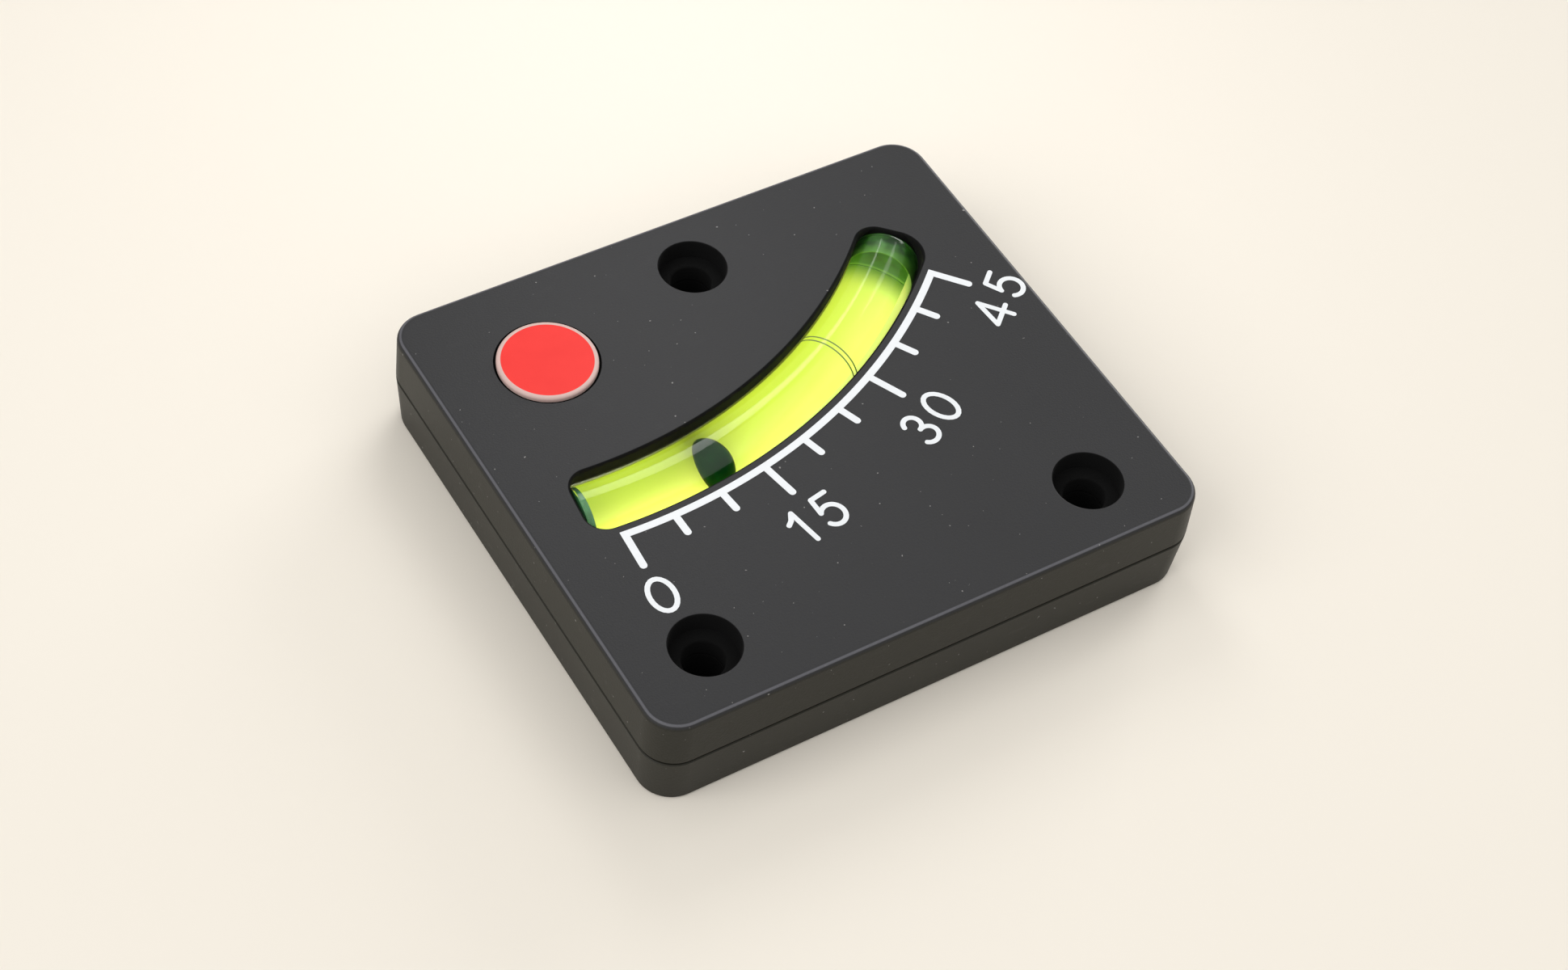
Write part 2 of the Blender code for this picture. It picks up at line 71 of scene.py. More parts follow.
hinge = frame["joints"][0]
arc_centre = Vector((hinge["pos_m"][0], hinge["pos_m"][1], 0))
arc_radius = 64.0 * mm
scale_lean = math.radians(-3.28)
scale_end = math.radians(45.0)
slot_start = math.radians(-2.5)
slot_end = math.radians(49.2)
arc_facets = 90
tube_low, tube_high = (corner.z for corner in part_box("vial_tube"))
tube_radius = (tube_high - tube_low) / 2
axis_height = (tube_high + tube_low) / 2
tube_facets = 80
bore_radius = 2.7 * mm
plug_overhang = 1.2 * mm
seat_radius = tube_radius + clearance
tube_start = slot_start + clearance / arc_radius
tube_end = slot_end - clearance / arc_radius
pocket_start = tube_start - (plug_overhang + clearance) / arc_radius
pocket_end = tube_end + (plug_overhang + clearance) / arc_radius
strip_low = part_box("reflector_strip")[0].z
strip_half = 3.5 * mm

holes = ((0.65 * mm, 24.1 * mm), (24.1 * mm, -23.4 * mm), (-25.1 * mm, -23.4 * mm))
hole_radius = 2.425 * mm
hole_edge = 0.28 * mm
head_radius = 3.975 * mm
head_depth = 2.6 * mm
head_edge = 0.2 * mm
hole_facets = 64


class Wire:
    """A value in a material. Plain sums on it add the maths nodes."""

    def __init__(self, finish, socket):
        self.finish = finish
        self.socket = socket

    def maths(self, operation, *values):
        return self.finish.node("ShaderNodeMath", {"operation": operation}, dict(enumerate(values)))

    def __add__(self, other):
        return self.maths("ADD", self, other)

    def __sub__(self, other):
        return self.maths("SUBTRACT", self, other)

    def __rsub__(self, other):
        return self.maths("SUBTRACT", other, self)

    def __mul__(self, other):
        return self.maths("MULTIPLY", self, other)

    def __truediv__(self, other):
        return self.maths("DIVIDE", self, other)

    def __pow__(self, other):
        return self.maths("POWER", self, other)

    __radd__ = __add__
    __rmul__ = __mul__

    def port(self, name):
        """Another output of the node that this value comes from."""
        return Wire(self.finish, self.socket.node.outputs[name])

    def between(self, low, high):
        """0 at low and before it, 1 at high and past it, with a soft step between them."""
        span = {"Value": self, "From Min": low, "From Max": high}
        return self.finish.node("ShaderNodeMapRange", {"interpolation_type": "SMOOTHSTEP"}, span)


class Finish:
    """One material, with the few ways in which its nodes are added."""

    def __init__(self, name, **whole):
        self.material = bpy.data.materials.new(name)
        self.material.use_nodes = True
        self.tree = self.material.node_tree
        self.shader = self.tree.nodes["Principled BSDF"]
        self.where = self.node("ShaderNodeTexCoord", {}, {}).port("Object")
        self.paint(**whole)

    def fill(self, socket, value):
        if isinstance(value, Wire):
            self.tree.links.new(value.socket, socket)
        elif socket.type == "RGBA":
            socket.default_value = (*value, 1.0)
        else:
            socket.default_value = value

    def paint(self, **sockets):
        """Sets or links the main shader's sockets, with _ in place of spaces."""
        for name, value in sockets.items():
            self.fill(self.shader.inputs[name.replace("_", " ")], value)

    def node(self, kind, settings, inputs):
        """Adds a node: its settings first, then its inputs by name or number, as values or links."""
        made = self.tree.nodes.new(kind)
        for setting, value in settings.items():
            setattr(made, setting, value)
        for key, value in inputs.items():
            self.fill(made.inputs[key], value)
        return Wire(self, next(output for output in made.outputs if output.enabled))

    def noise(self, size, detail=2.0, stretch=(1, 1, 1)):
        """Cloudy variation from 0 to 1, with patches of about that size."""
        vector = self.node("ShaderNodeVectorMath", {"operation": "MULTIPLY"}, {0: self.where, 1: stretch})
        return self.node("ShaderNodeTexNoise", {}, {"Vector": vector, "Scale": 1 / size, "Detail": detail})

    def blend(self, factor, first, second):
        """A colour between two colours."""
        return self.node("ShaderNodeMix", {"data_type": "RGBA"}, {0: factor, 6: first, 7: second})

    def relief(self, height, depth):
        """Small bumps from a height of 0 to 1 and their depth."""
        self.paint(Normal=self.node("ShaderNodeBump", {}, {"Height": height, "Distance": depth}))

    def let_lamps_through(self):
        """Shadow rays pass as if nothing were there, so that the lamps reach what lies behind."""
        shadow = self.node("ShaderNodeLightPath", {}, {}).port("Is Shadow Ray")
        clear = self.node("ShaderNodeBsdfTransparent", {}, {})
        surface = Wire(self, self.shader.outputs["BSDF"])
        both = self.node("ShaderNodeMixShader", {}, {0: shadow, 1: surface, 2: clear})
        self.fill(self.tree.nodes["Material Output"].inputs["Surface"], both)


def loft(name, rings, closed=False):
    """A solid through rings of points, with flat ends or closed on itself."""
    bm = bmesh.new()
    loops = [[bm.verts.new(point) for point in ring] for ring in rings]
    pairs = list(zip(loops, loops[1:]))
    if closed:
        pairs.append((loops[-1], loops[0]))
    else:
        bm.faces.new(loops[0])
        bm.faces.new(loops[-1])
    for first, second in pairs:
        for n in range(len(first)):
            bm.faces.new((first[n - 1], first[n], second[n], second[n - 1]))
    bmesh.ops.recalc_face_normals(bm, faces=bm.faces)
    mesh = bpy.data.meshes.new(name)
    bm.to_mesh(mesh)
    bm.free()
    made = bpy.data.objects.new(name, mesh)
    bpy.context.scene.collection.objects.link(made)
    return made


def carve(piece, other, operation="DIFFERENCE"):
    """Cuts another solid out of a piece, or joins it on, and uses it up."""
    step = piece.modifiers.new("carve", "BOOLEAN")
    step.object = other
    step.operation = operation
    step.solver = "EXACT"
    graph = bpy.context.evaluated_depsgraph_get()
    piece.data = bpy.data.meshes.new_from_object(piece.evaluated_get(graph))
    piece.modifiers.clear()
    bpy.data.objects.remove(other)


def dress(piece, body, *finishes, sharp=30):
    """Shades a piece smooth between its sharp edges, gives it its finishes and lets it ride on a body."""
    piece.data.shade_smooth()
    piece.data.set_sharp_from_angle(angle=math.radians(sharp))
    for finish in finishes:
        piece.data.materials.append(finish.material)
    even = piece.modifiers.new("even", "WEIGHTED_NORMAL")
    even.keep_sharp = True
    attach(piece, body)


def quarter_turns(steps):
    """The angles of a quarter turn in equal steps, both ends included."""
    return [math.pi / 2 * n / steps for n in range(steps + 1)]


def case_outline(inset, height):
    """The outside of the case at a height, drawn in by an inset, with its draft and round corners."""
    if height >= parting:
        spread = front_draft * (face - height) / (face - parting)
    else:
        spread = front_draft - rear_draft * (parting - height) / (parting - back)
    corner = case_corner - inset
    points = []
    for quarter in range(4):
        middle = math.pi / 2 * (quarter + 0.5)
        across = math.copysign(case_half[0] + spread - case_corner, math.cos(middle))
        along = math.copysign(case_half[1] + spread - case_corner, math.sin(middle))
        for turn in quarter_turns(case_facets):
            swing = turn + math.pi / 2 * quarter
            points.append((across + corner * math.cos(swing), along + corner * math.sin(swing), height))
    return points


def circle(place, radius, height, facets=hole_facets):
    """A level circle."""
    turns = [2 * math.pi * n / facets for n in range(facets)]
    return [(place[0] + radius * math.cos(t), place[1] + radius * math.sin(t), height) for t in turns]


def outward(angle):
    """The unit vector from the arc's centre to an angle of the scale."""
    return Vector((math.sin(angle + scale_lean), -math.cos(angle + scale_lean), 0))


def arc_steps(start, end):
    """Angles along the arc from start to end."""
    count = max(round(arc_facets * abs(end - start) / scale_end), 2)
    return [start + (end - start) * n / count for n in range(count + 1)]


def along_arc(name, profile, start, end):
    """A profile of (offset from the tube's axis, height) points, swept along the arc."""
    rings = []
    for angle in arc_steps(start, end):
        out = outward(angle)
        rings.append([arc_centre + out * (arc_radius + offset) + up * height for offset, height in profile])
    return loft(name, rings)


def tube_ring(radius):
    """A circle round the tube's axis, as a profile."""
    turns = [2 * math.pi * n / tube_facets for n in range(tube_facets)]
    return [(radius * math.cos(t), axis_height + radius * math.sin(t)) for t in turns]


def rounded_mouth(radius, edge, top):
    """The radius and height of each ring of a hole's softened edge, from the top down into the hole."""
    turns = quarter_turns(edge_facets)
    return [(radius + edge * (1 - math.sin(t)), top - edge * (1 - math.cos(t))) for t in turns]


def screw_hole(place):
    """The space for one screw: a counterbore for its head over a through hole, each with a softened edge."""
    seat = face - head_depth
    levels = [(head_radius + head_edge, face + overrun)]
    levels += rounded_mouth(head_radius, head_edge, face)
    levels.append((head_radius, seat))
    levels += rounded_mouth(hole_radius, hole_edge, seat)
    levels += [(hole_radius, back + back_edge), (hole_radius + back_edge / 2, back)]
    levels.append((hole_radius + back_edge / 2, back - overrun))
    return loft("screw_hole", [circle(place, *level) for level in levels])


grain_size = 0.24 * mm
grain_depth = 0.025 * mm
cloud_size = 11 * mm
rub_size = 1.6 * mm
dust_size = 0.55 * mm
painted_side_shade_black = (0.014, 0.013, 0.005)
face_black = (0.024, 0.024, 0.025)
mottle_black = (0.038, 0.038, 0.041)
painted_recess_black = (0.002, 0.002, 0.002)
highlight_grey_paint = (0.13, 0.13, 0.145)
dust_grey = (0.30, 0.29, 0.28)
skin = (1.5 * mm, 2.0 * mm)
face_tone_depths = (0.6 * mm, 0.2 * mm)
highlight_line_depths = (0.20 * mm, 0.13 * mm)
highlight_end_depths = (0.05 * mm, 0.01 * mm)
painted_recess_depths = (0.05 * mm, 0.003 * mm)

black = Finish("black_plastic", Specular_IOR_Level=0.24)
grain = black.noise(grain_size, detail=3)
cloud = black.noise(cloud_size, detail=4)
rubbed = black.noise(rub_size, detail=5, stretch=(0.35, 1, 1)).between(0.62, 0.72)
dust = black.noise(dust_size, detail=1).between(0.77, 0.81)
place_x = black.node("ShaderNodeSeparateXYZ", {}, {0: black.where})
place_y = place_x.port("Y")
place_z = place_x.port("Z")


def near_face(depths):
    """0 up to the first depth below the face, and 1 from the second depth up."""
    return place_z.between(face - depths[0], face - depths[1])


from_sides = case_half[0] - place_x.maths("ABSOLUTE", place_x)
from_ends = case_half[1] - place_x.maths("ABSOLUTE", place_y)
inside = place_x.maths("MINIMUM", from_sides, from_ends).between(*skin)
# Painted shade: every surface below the face lying more than a skin's width in from the case's outside
# (slot, trough, holes) is painted near black, made rougher, and gets no dust.
painted_recess_shade = inside * (1 - near_face(painted_recess_depths))
# Painted highlight: a thin light grey line on the rounded outer edge just below the face, left off the
# hollows.
painted_edge_highlight = near_face(highlight_line_depths) * (1 - near_face(highlight_end_depths))
# Painted shade: below the face's rounded edge the sides are a darker, warmer black than the face, for the
# light and warm floor light falling on them.
outer = black.blend(near_face(face_tone_depths), painted_side_shade_black, face_black)
highlighted_at_edge = black.blend(painted_edge_highlight * (1 - inside), outer, highlight_grey_paint)
mottled = black.blend(cloud * 0.2 + grain * 0.3, highlighted_at_edge, mottle_black)
shaded_in_recesses = black.blend(painted_recess_shade, mottled, painted_recess_black)
black.paint(Base_Color=black.blend(dust * 0.75 * (1 - painted_recess_shade), shaded_in_recesses, dust_grey))
black.paint(Roughness=0.46 + painted_recess_shade * 0.5 + cloud * 0.06 - rubbed * 0.04)
black.relief(grain * 0.8 + cloud * 0.2, grain_depth)

rear_rings = []
for turn in quarter_turns(edge_facets):
    height = back + back_edge * (1 - math.cos(turn))
    rear_rings.append(case_outline(back_edge * (1 - math.sin(turn)), height))
rear_rings.append(case_outline(0, rear_high - seam_edge))
rear_rings.append(case_outline(seam_edge, rear_high))
rear_rings.append(case_outline(lip_inset, rear_high))
rear_rings.append(case_outline(lip_inset, lip_top))
rear_shell = loft("rear_shell", rear_rings)
carve(rear_shell, along_arc("tube_seat", tube_ring(seat_radius), slot_start, slot_end))
carve(rear_shell, along_arc("plug_seat", tube_ring(bore_radius), pocket_start, pocket_end))
channel_low = strip_low - clearance
channel = [(strip_half, channel_low), (strip_half, axis_height)]
channel += [(-strip_half, axis_height), (-strip_half, channel_low)]
carve(rear_shell, along_arc("strip_channel", channel, slot_start, slot_end))
for place in holes:
    carve(rear_shell, screw_hole(place))
dress(rear_shell, "case", black)
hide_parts("rear_cover")

# Front shell: the moulded upper half of the case, with the face, in the same plastic.
# It has a curved slot with a rounded rim, three counterbored holes and a shallow round pocket.
# Below the slot a trough, open to the rear, closes over the tube and its plugs.
face_edge = 0.7 * mm
slot_inside = 3.5 * mm
slot_outside = 4.8 * mm
slot_corner_radius = 2.4 * mm
far_corner_radius = 3.5 * mm
slot_rim = 0.4 * mm
badge_low, badge_high = (corner.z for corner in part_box("badge"))
badge_radius = (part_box("badge")[1].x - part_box("badge")[0].x) / 2
badge_place = (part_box("badge")[0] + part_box("badge")[1]) / 2
pocket_floor = badge_low - clearance
pocket_radius = badge_radius + clearance


def onward(angle):
    """The unit vector along the arc, towards larger readings."""
    return up.cross(outward(angle))


def slot_corner(radius, side, end, corner, spread):
    """A round corner of the slot from its long side to its end, and the angle where it leaves the side."""
    way = 1 if end == slot_end else -1
    reach = radius - side * corner
    angle = end - way * math.asin(corner / reach)
    middle = arc_centre + outward(angle) * reach
    off_side = outward(angle) * side
    off_end = onward(end) * way
    turns = [off_side.slerp(off_end, n / case_facets) for n in range(case_facets + 1)]
    return angle, [middle + turn * (corner + spread) for turn in turns]


def slot_side(radius, side, first, last, spread):
    """One long side of the slot, outer (1) or inner (-1), with the round corner at both its ends."""
    first_angle, first_corner = slot_corner(radius, side, *first, spread)
    last_angle, last_corner = slot_corner(radius, side, *last, spread)
    between = arc_steps(first_angle, last_angle)[1:-1]
    long_side = [arc_centre + outward(angle) * (radius + side * spread) for angle in between]
    return [*reversed(first_corner), *long_side, *last_corner]


def slot_ring(spread, height):
    """The slot's outline at a height, grown outwards by spread."""
    near = (slot_start, slot_corner_radius)
    far = (slot_end, slot_corner_radius)
    wide_far = (slot_end, far_corner_radius)
    outline = slot_side(arc_radius + slot_outside, 1, near, wide_far, spread)
    outline += slot_side(arc_radius - slot_inside, -1, far, near, spread)
    return [point + up * height for point in outline]


def trough(radius):
    """Round above the tube's axis and straight below it, as a profile."""
    turns = [math.pi * n / tube_facets for n in range(tube_facets + 1)]
    crown = [(radius * math.cos(t), axis_height + radius * math.sin(t)) for t in turns]
    return [*crown, (-radius, front_low - overrun), (radius, front_low - overrun)]


front_rings = [case_outline(seam_edge, front_low), case_outline(0, front_low + seam_edge)]
for turn in quarter_turns(edge_facets):
    height = face - face_edge * (1 - math.sin(turn))
    front_rings.append(case_outline(face_edge * (1 - math.cos(turn)), height))
front_shell = loft("front_shell", front_rings)
rebate_inset = lip_inset - clearance
rebate = [case_outline(rebate_inset, front_low - overrun), case_outline(rebate_inset, lip_top + clearance)]
carve(front_shell, loft("rebate", rebate))
carve(front_shell, along_arc("tube_trough", trough(seat_radius), slot_start, slot_end))
carve(front_shell, along_arc("plug_trough", trough(bore_radius), pocket_start, pocket_end))
slot_rings = [slot_ring(0, axis_height), slot_ring(0, face - slot_rim)]
for turn in quarter_turns(edge_facets)[1:-1]:
    height = face - slot_rim * (1 - math.sin(turn))
    slot_rings.append(slot_ring(slot_rim * (1 - math.cos(turn)), height))
slot_rings += [slot_ring(slot_rim, face + slot_rim / 10), slot_ring(slot_rim, face + overrun)]
carve(front_shell, loft("slot", slot_rings))
pocket_rings = [circle(badge_place, pocket_radius, level) for level in (pocket_floor, face + overrun)]
carve(front_shell, loft("badge_pocket", pocket_rings))
for place in holes:
    carve(front_shell, screw_hole(place))
dress(front_shell, "case", black)
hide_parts("front_cover")

# Reflector strip: a thin pale plastic strip that lies in the rear shell's channel, behind the tube.
# It is the solid from the frame, with a matt, slightly mottled finish.
strip_tones = ((0.80, 0.82, 0.74), (0.88, 0.89, 0.83))
strip_patch = 1.5 * mm
strip_grain = 0.2 * mm
strip_relief = 0.01 * mm
pale = Finish("pale_strip", Roughness=0.6)
pale.paint(Base_Color=pale.blend(pale.noise(strip_patch), *strip_tones))
pale.relief(pale.noise(strip_grain), strip_relief)
strip = frame["nodes"]["reflector_strip"]
strip.data.materials.clear()
strip.data.materials.append(pale.material)

# Plugs: two green plastic stoppers, turned, glued into the ends of the tube.
# Each has a round hollow in its inner end, in which the ball nests at the end of its travel.
plug_radius = bore_radius - 0.04 * mm
plug_edge = 0.4 * mm
plug_land = 0.2 * mm
nest_radius = 2.7 * mm
under_travel = math.radians(0.3)
over_travel = math.radians(0.5)
streak_size = 0.9 * mm
streak_relief = 0.03 * mm
middle_half = 5 * mm
zero_end_greens = ((0.045, 0.20, 0.065), (0.09, 0.33, 0.13))
far_end_shaded_greens = ((0.006, 0.035, 0.006), (0.035, 0.16, 0.015))
painted_light_green = (0.09, 0.26, 0.03)
painted_light_span = (math.radians(46.3), math.radians(48.3))


def from_arc_centre(finish):
    """How far each point lies from the arc's centre, to the right and up the face."""
    offset = finish.node("ShaderNodeVectorMath", {"operation": "SUBTRACT"}, {0: finish.where, 1: arc_centre})
    rightward = finish.node("ShaderNodeSeparateXYZ", {}, {0: offset})
    return rightward, rightward.port("Y")


def reading_at(rightward, upward):
    """The angle of the scale at a point."""
    return rightward.maths("ARCTAN2", rightward, 0 - upward) - scale_lean


green = Finish("green_plug", Roughness=0.4)
streak = green.noise(streak_size, detail=4, stretch=(1, 1, 0.4))
# Painted shade: the plug at the far end is painted a much darker green than the plug at the zero end.
far_half = green.node("ShaderNodeSeparateXYZ", {}, {0: green.where}).between(-middle_half, middle_half)
dark_tone = green.blend(far_half, zero_end_greens[0], far_end_shaded_greens[0])
light_tone = green.blend(far_half, zero_end_greens[1], far_end_shaded_greens[1])
# Painted light: on the far plug, the part short of 46.3 degrees, towards the liquid, is painted a lighter
# green, as if lit through it.
painted_light_mask = far_half * (1 - reading_at(*from_arc_centre(green)).between(*painted_light_span))
cast = green.blend(streak.between(0.35, 0.7), dark_tone, light_tone)
green.paint(Base_Color=green.blend(painted_light_mask, cast, painted_light_green))
green.relief(streak, streak_relief)


def ring_at(angle, radius):
    """A circle round the tube's axis, at an angle of the scale."""
    out = outward(angle)
    return [arc_centre + out * (arc_radius + offset) + up * height for offset, height in tube_ring(radius)]


def plug(name, mouth, way, nest_depth):
    """A plug on the tube's axis at its mouth, and the angle and radius of each ring of its hollow.

    Way is 1 or -1, into the tube along the arc.
    """
    rim_turn = math.asin((plug_radius - plug_land) / nest_radius)
    levels = [(plug_radius - plug_edge, -plug_overhang), (plug_radius, plug_edge - plug_overhang)]
    rim = nest_depth - nest_radius * math.cos(rim_turn)
    levels.append((plug_radius, rim))
    hollow = []
    for n in range(case_facets):
        turn = rim_turn * (1 - n / case_facets)
        hollow.append((nest_radius * math.sin(turn), nest_depth - nest_radius * math.cos(turn)))
    rings = [ring_at(mouth + way * depth / arc_radius, radius) for radius, depth in levels + hollow]
    made = loft(name, rings)
    dress(made, "case", green)
    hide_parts(name)
    return [(mouth + way * depth / arc_radius, radius) for radius, depth in hollow]


near_hollow = plug("zero_end_plug", tube_start, 1, (-under_travel - tube_start) * arc_radius)
far_hollow = plug("far_end_plug", tube_end, -1, (tube_end - scale_end - over_travel) * arc_radius)

# Tube: a clear acrylic tube bent to the arc, which holds the liquid and the ball. Its far end is rounded.
# Its bore is wetted by liquid of nearly the same density to light, so that face bends no light.
# Its two end faces are painted with the plugs' green, which is what shows through them.
tube_edge = 0.08 * mm
far_edge = 0.7 * mm
tube_spread = 0.2 * mm
tube_reach = tube_radius + tube_spread
haze_size = 1.2 * mm
wave_size = 5 * mm
wave_depth = 0.004 * mm
square_to_arc = 0.9
clear = Finish("clear_tube", Base_Color=(0.97, 1.0, 0.95), Transmission_Weight=1.0, IOR=1.43)
clear.paint(Roughness=0.09 + clear.noise(haze_size).between(0.5, 0.8) * 0.02)
clear.relief(clear.noise(wave_size), wave_depth)
clear.let_lamps_through()
wetted = Finish("wetted_bore", Base_Color=(1, 1, 1), Transmission_Weight=1.0, IOR=1.0, Roughness=0.0)
wetted.let_lamps_through()


def lengthwise(facet):
    """How squarely a facet of a bent piece faces along the arc, from 0 to 1."""
    arm = Vector((*facet.center.xy, 0)) - arc_centre
    return abs(facet.normal.dot(up.cross(arm.normalized())))


def from_axis(facet):
    """The distance of a facet's middle from the tube's axis."""
    arm = Vector((*facet.center.xy, 0)) - arc_centre
    return math.hypot(arm.length - arc_radius, facet.center.z - axis_height)


near_turn = tube_edge / arc_radius
far_turn = far_edge / arc_radius
full_round = arc_steps(tube_start + near_turn, tube_end - far_turn)
tube_rings = [ring_at(tube_start, tube_reach - tube_edge)]
tube_rings += [ring_at(angle, tube_reach) for angle in full_round]
for turn in quarter_turns(edge_facets)[1:]:
    angle = tube_end - far_edge * (1 - math.sin(turn)) / arc_radius
    tube_rings.append(ring_at(angle, tube_reach - far_edge * (1 - math.cos(turn))))
tube_rings += [ring_at(angle, bore_radius) for angle in arc_steps(tube_end, tube_start)]
tube = loft("tube", tube_rings, closed=True)
dress(tube, "case", clear, wetted, green)
for facet in tube.data.polygons:
    if lengthwise(facet) > square_to_arc:
        facet.material_index = 2
    elif from_axis(facet) < bore_radius + tube_edge / 2:
        facet.material_index = 1
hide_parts("vial_tube")

# Liquid: fluorescent yellow-green damping liquid that fills the bore between the plugs.
# Its top is a clear window. Below that it is painted with a glow, standing in for the bright liquid over the
# pale strip.
# It is painted darker and greener towards its far flank as shade, and dark green in front of the far plug as
# a painted shadow.
film = 0.02 * mm
liquid_radius = bore_radius - film
window_above = axis_height + 0.55 * mm
side_facing = 0.5
window_tint = (0.97, 1.0, 0.80)
yellows = ((0.91, 0.93, 0.17), (0.95, 0.96, 0.20))
yellow_greens = ((0.74, 0.87, 0.17), (0.78, 0.90, 0.20))
shaded_zero_end = (0.25, 0.33, 0.025)
shaded_further_on = (0.50, 0.58, 0.06)
painted_plug_shadow = (0.07, 0.24, 0.02)
turning_green = (math.radians(8.0), math.radians(24.0))
growing_dim = (math.radians(4.0), math.radians(18.0))
beside_plug = (math.radians(43.0), math.radians(47.6))
mist_size = 4 * mm
mist_depth = 0.02 * mm
window = Finish("liquid_window", Base_Color=window_tint, Transmission_Weight=1.0, IOR=1.0, Roughness=0.0)
window.let_lamps_through()
glow = Finish("liquid_glow", Roughness=0.5)
liquid_right, liquid_up = from_arc_centre(glow)
radial = (liquid_right * liquid_right + liquid_up * liquid_up) ** 0.5
liquid_reading = reading_at(liquid_right, liquid_up)
# Painted shade: the liquid is painted darker and greener towards its far flank.
far_side = ((arc_radius - radial) / bore_radius).between(-0.15, 0.85)
near_flank = ((radial - arc_radius) / bore_radius).between(0.55, 0.95)
mist = glow.noise(mist_size)
further_on = liquid_reading.between(*turning_green)
bright = glow.blend(further_on, glow.blend(mist, *yellows), glow.blend(mist, *yellow_greens))
shaded = glow.blend(further_on, shaded_zero_end, shaded_further_on)
toned = glow.blend(far_side, bright, shaded)
# Painted shadow: the liquid turns dark green in front of the far plug.
tone = glow.blend(liquid_reading.between(*beside_plug), toned, painted_plug_shadow)
# Painted light: the glow is strongest near the zero end and over the near flank, and weaker further along
# the arc.
dimming = (liquid_reading.between(*growing_dim) * 0.65 + 0.05) * (1 - near_flank)
glow.paint(Base_Color=tone, Emission_Color=glow.blend(dimming, tone, (0, 0, 0)), Emission_Strength=0.95)
glow.relief(mist, mist_depth)

film_turn = film / arc_radius
bore_start = near_hollow[0][0] + film_turn
bore_end = far_hollow[0][0] - film_turn
liquid_rings = [ring_at(angle + film_turn, radius - film) for angle, radius in reversed(near_hollow)]
liquid_rings += [ring_at(angle, liquid_radius) for angle in arc_steps(bore_start, bore_end)]
liquid_rings += [ring_at(angle - film_turn, radius - film) for angle, radius in far_hollow]
liquid = loft("liquid", liquid_rings)
dress(liquid, "case", window, glow)
for facet in liquid.data.polygons:
    facet.material_index = int(lengthwise(facet) < side_facing and facet.center.z < window_above)

# Ball: a smooth dark green ball that rolls in the bore, through the liquid, and is read against the scale.
# It rides on the body that swings about the arc's centre. It is slightly larger than its solid.
ball_spread = 0.15 * mm
ball_low, ball_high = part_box("indicator_ball")
ball_middle = (ball_low + ball_high) / 2
ball_radius = (ball_high.z - ball_low.z) / 2 + ball_spread
ball_greens = ((0.0005, 0.014, 0.002), (0.002, 0.036, 0.007))
swirl_size = 1.4 * mm
half_turn_facets = tube_facets // 2
dark_green = Finish("dark_ball", Roughness=0.25, Specular_IOR_Level=0.02)
dark_green.paint(Base_Color=dark_green.blend(dark_green.noise(swirl_size, detail=3), *ball_greens))
ball_rings = []
for n in range(1, half_turn_facets):
    turn = math.pi * n / half_turn_facets
    height = ball_middle.z - ball_radius * math.cos(turn)
    ball_rings.append(circle(ball_middle, ball_radius * math.sin(turn), height))
ball = loft("ball", ball_rings)
dress(ball, "ball", dark_green, sharp=60)
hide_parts("indicator_ball")

# Tube rings: two fine grey-green lines round the tube, as if left where it was held while it was bent.
# Each is a thin band on the outside of the tube, and rides with it.
ring_angles = (math.radians(31.0), math.radians(31.6))
ring_width = 0.17 * mm
ring_height = 0.02 * mm
ring_tones = ((0.11, 0.17, 0.05), (0.20, 0.28, 0.09))
ring_patch = 0.8 * mm
ring_turn = ring_width / 2 / arc_radius
ring_top = tube_reach + ring_height
band_corners = [(-ring_turn, tube_reach), (-ring_turn, ring_top)]
band_corners += [(ring_turn, ring_top), (ring_turn, tube_reach)]
faint = Finish("tube_ring", Roughness=0.4)
faint.paint(Base_Color=faint.blend(faint.noise(ring_patch), *ring_tones))
for number, angle in enumerate(ring_angles):
    band_rings = [ring_at(angle + shift, radius) for shift, radius in band_corners]
    band = loft(f"tube_ring_{number}", band_rings, closed=True)
    dress(band, "case", faint)

# Scale: a line along the slot with a mark every 5 degrees and the numbers 0, 15, 30 and 45.
# It is printed on the face in a thin coat of white paint, in lines of one width with round ends.
line_half = 0.435 * mm
numeral_half = 0.30 * mm
print_low = face - 0.01 * mm
print_high = face + 0.025 * mm
line_radius = 70.25 * mm
short_mark = 72.94 * mm
long_mark = 74.82 * mm
cap_facets = 6
sharpest_corner = 0.62
print_whites = ((0.76, 0.79, 0.81), (0.84, 0.86, 0.88))
print_patch = 0.9 * mm
print_grain = 0.25 * mm
print_relief = 0.008 * mm
white = Finish("white_print", Roughness=0.38)
white.paint(Base_Color=white.blend(white.noise(print_patch, detail=4), *print_whites))
white.relief(white.noise(print_grain, detail=3), print_relief)


def stroke(points, half_width, closed=False):
    """A printed line through points on the face, mitred at its corners and round at its ends."""
    stations = []
    for n, point in enumerate(points):
        runs = []
        if n or closed:
            runs.append((point - points[n - 1]).normalized())
        if n < len(points) - 1 or closed:
            runs.append((points[(n + 1) % len(points)] - point).normalized())
        heading = sum(runs, Vector((0, 0, 0))).normalized()
        stations.append((point, heading, half_width / max(heading.dot(runs[0]), sharpest_corner)))
    if not closed:
        (first, first_heading, _), (last, last_heading, _) = stations[0], stations[-1]
        for turn in quarter_turns(cap_facets)[1:-1]:
            reach = half_width * math.sin(turn)
            half = half_width * math.cos(turn)
            stations.insert(0, (first - first_heading * reach, first_heading, half))
            stations.append((last + last_heading * reach, last_heading, half))
    rings = []
    for point, heading, half in stations:
        side = heading.cross(up) * half
        left, right = point - side, point + side
        low, high = up * print_low, up * print_high
        rings.append([left + low, right + low, right + high, left + high])
    return loft("stroke", rings, closed)


